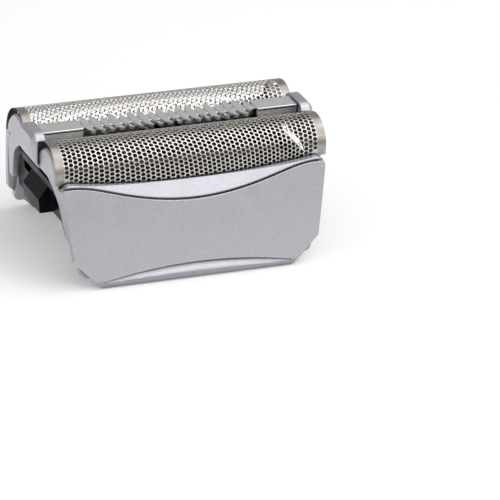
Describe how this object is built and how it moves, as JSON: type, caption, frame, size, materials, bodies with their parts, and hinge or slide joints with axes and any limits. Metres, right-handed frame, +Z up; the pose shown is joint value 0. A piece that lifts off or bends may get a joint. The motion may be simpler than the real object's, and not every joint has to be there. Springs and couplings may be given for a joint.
{
  "type": "shaver foil head",
  "caption": "Electric shaver foil head: two arched perforated foils and a toothed trimmer float in a silver frame with flared skirts, over a black chassis with end catches.",
  "frame": {"origin": "centre of the head in plan, on the plane of the skirts' feet", "axes": "+X along the foils, -Y towards the front skirt, +Z up through the crowns of the foils"},
  "size_m": [0.0576, 0.0384, 0.0259],
  "materials": {
    "silver_plastic": "silver paint with fine metal flakes",
    "black_plastic": "gloss black moulding",
    "foil_nickel": "bright nickel",
    "carrier_plastic": "dark grey moulding",
    "trimmer_steel": "ground steel",
    "spring_steel": "rolled spring strip"
  },
  "bodies": {
    "base": {"outer_frame": "silver_plastic", "inner_chassis": "black_plastic", "front_left_foil_spring": "spring_steel", "front_right_foil_spring": "spring_steel", "rear_left_foil_spring": "spring_steel", "rear_right_foil_spring": "spring_steel", "left_trimmer_spring": "spring_steel", "right_trimmer_spring": "spring_steel"},
    "front_foil_unit": {"front_foil": "foil_nickel", "front_foil_carrier": "carrier_plastic", "front_foil_outer_strip": "carrier_plastic", "front_foil_inner_strip": "carrier_plastic"},
    "rear_foil_unit": {"rear_foil": "foil_nickel", "rear_foil_carrier": "carrier_plastic", "rear_foil_outer_strip": "carrier_plastic", "rear_foil_inner_strip": "carrier_plastic"},
    "trimmer_unit": {"trimmer_comb": "trimmer_steel", "trimmer_carrier": "black_plastic", "left_blade_spring": "spring_steel", "right_blade_spring": "spring_steel"},
    "trimmer_blade_unit": {"trimmer_blade": "trimmer_steel", "trimmer_driver": "carrier_plastic"}
  },
  "joints": [
    {"name": "front_foil_float", "type": "slide", "parent": "base", "child": "front_foil_unit", "axis": [0, 0, 1], "range_m": [-0.0008, 0], "stiffness_N_per_m": 600, "springref_m": 0.0005, "deforming": ["front_left_foil_spring", "front_right_foil_spring"]},
    {"name": "rear_foil_float", "type": "slide", "parent": "base", "child": "rear_foil_unit", "axis": [0, 0, 1], "range_m": [-0.0008, 0], "stiffness_N_per_m": 600, "springref_m": 0.0005, "deforming": ["rear_left_foil_spring", "rear_right_foil_spring"]},
    {"name": "trimmer_float", "type": "slide", "parent": "base", "child": "trimmer_unit", "axis": [0, 0, 1], "range_m": [-0.001, 0], "stiffness_N_per_m": 500, "springref_m": 0.0006, "deforming": ["left_trimmer_spring", "right_trimmer_spring"]},
    {"name": "trimmer_stroke", "type": "slide", "parent": "trimmer_unit", "child": "trimmer_blade_unit", "axis": [1, 0, 0], "range_m": [-0.001, 0.001]}
  ]
}
